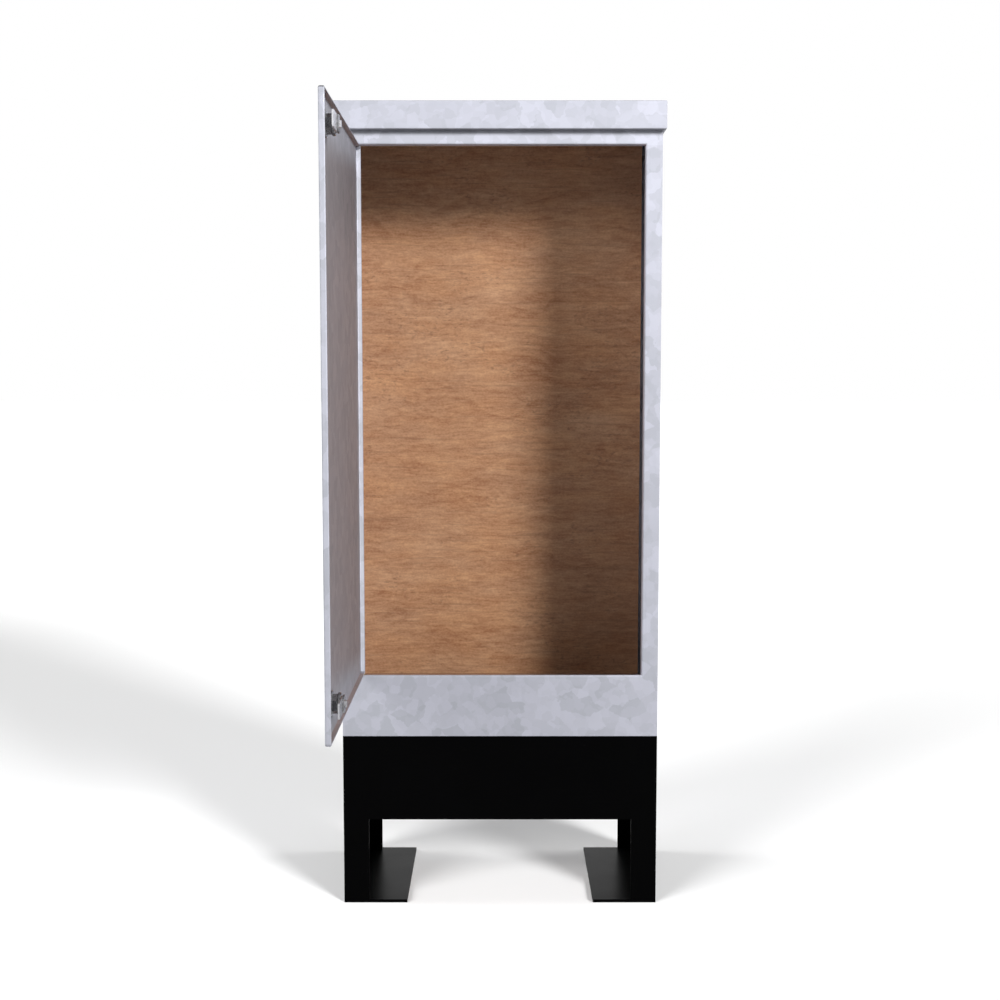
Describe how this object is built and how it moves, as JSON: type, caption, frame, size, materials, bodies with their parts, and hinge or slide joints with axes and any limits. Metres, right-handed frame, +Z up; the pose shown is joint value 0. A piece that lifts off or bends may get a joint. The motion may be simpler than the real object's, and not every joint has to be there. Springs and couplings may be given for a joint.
{
  "type": "feeder pillar",
  "caption": "Galvanised street feeder pillar with an open hinged door, quarter-turn locks, plywood backboard, canopy roof and a black arched root with inward foot plates.",
  "frame": {"origin": "centre of the footprint on the ground", "axes": "+Z up, +X to the right seen from the front, -Y towards the front with the door"},
  "size_m": [0.612, 0.829, 1.514],
  "materials": {
    "galvanised_sheet": "spangled galvanised",
    "door_sheet": "galvanised",
    "root_coating": "black coating, satin",
    "plywood": "bare plywood",
    "lock_metal": "dark zinc",
    "cam_steel": "bright zinc",
    "fastener_zinc": "zinc plated",
    "washer_brass": "plain"
  },
  "bodies": {
    "cabinet": {"backboard": "plywood", "board_rail_lower": "galvanised_sheet", "board_rail_upper": "galvanised_sheet", "board_screw_1": "fastener_zinc", "board_screw_2": "fastener_zinc", "board_screw_3": "fastener_zinc", "board_screw_4": "fastener_zinc", "cabinet_wrap": "galvanised_sheet", "foot_left": "root_coating", "foot_right": "root_coating", "front_frame": "galvanised_sheet", "pivot_pin_lower": "fastener_zinc", "pivot_pin_upper": "fastener_zinc", "roof_cap": "galvanised_sheet", "roof_nut_1": "fastener_zinc", "roof_nut_2": "fastener_zinc", "roof_nut_3": "fastener_zinc", "roof_nut_4": "fastener_zinc", "roof_stud_1": "fastener_zinc", "roof_stud_2": "fastener_zinc", "roof_stud_3": "fastener_zinc", "roof_stud_4": "fastener_zinc", "root_bolt_1": "fastener_zinc", "root_bolt_2": "fastener_zinc", "root_bolt_3": "fastener_zinc", "root_bolt_4": "fastener_zinc", "root_front_plate": "root_coating", "root_nut_1": "fastener_zinc", "root_nut_2": "fastener_zinc", "root_nut_3": "fastener_zinc", "root_nut_4": "fastener_zinc", "root_rear_plate": "root_coating", "root_side_left": "root_coating", "root_side_right": "root_coating", "thrust_washer": "washer_brass"},
    "door": {"door_leaf": "door_sheet", "lock_housing_lower": "lock_metal", "lock_housing_upper": "lock_metal", "lock_nut_lower": "lock_metal", "lock_nut_upper": "lock_metal", "lock_washer_lower": "lock_metal", "lock_washer_upper": "lock_metal", "pivot_plate_lower": "door_sheet", "pivot_plate_upper": "door_sheet", "stop_ring_lower": "lock_metal", "stop_ring_upper": "lock_metal"},
    "lock_upper": {"cam_screw_upper": "cam_steel", "cam_washer_upper": "lock_metal", "lock_cam_upper": "cam_steel", "lock_rotor_upper": "lock_metal"},
    "lock_lower": {"cam_screw_lower": "cam_steel", "cam_washer_lower": "lock_metal", "lock_cam_lower": "cam_steel", "lock_rotor_lower": "lock_metal"}
  },
  "joints": [
    {"name": "door_swing", "type": "hinge", "parent": "cabinet", "child": "door", "pos_m": [-0.2615, -0.144, 0.94075], "axis": [0, 0, 1], "range_deg": [-10, 90]},
    {"name": "lock_turn_upper", "type": "hinge", "parent": "door", "child": "lock_upper", "pos_m": [-0.2655, -0.616, 1.3896], "axis": [-1, 0, 0], "range_deg": [0, 90]},
    {"name": "lock_turn_lower", "type": "hinge", "parent": "door", "child": "lock_lower", "pos_m": [-0.2655, -0.616, 0.4999], "axis": [1, 0, 0], "range_deg": [0, 90]}
  ]
}
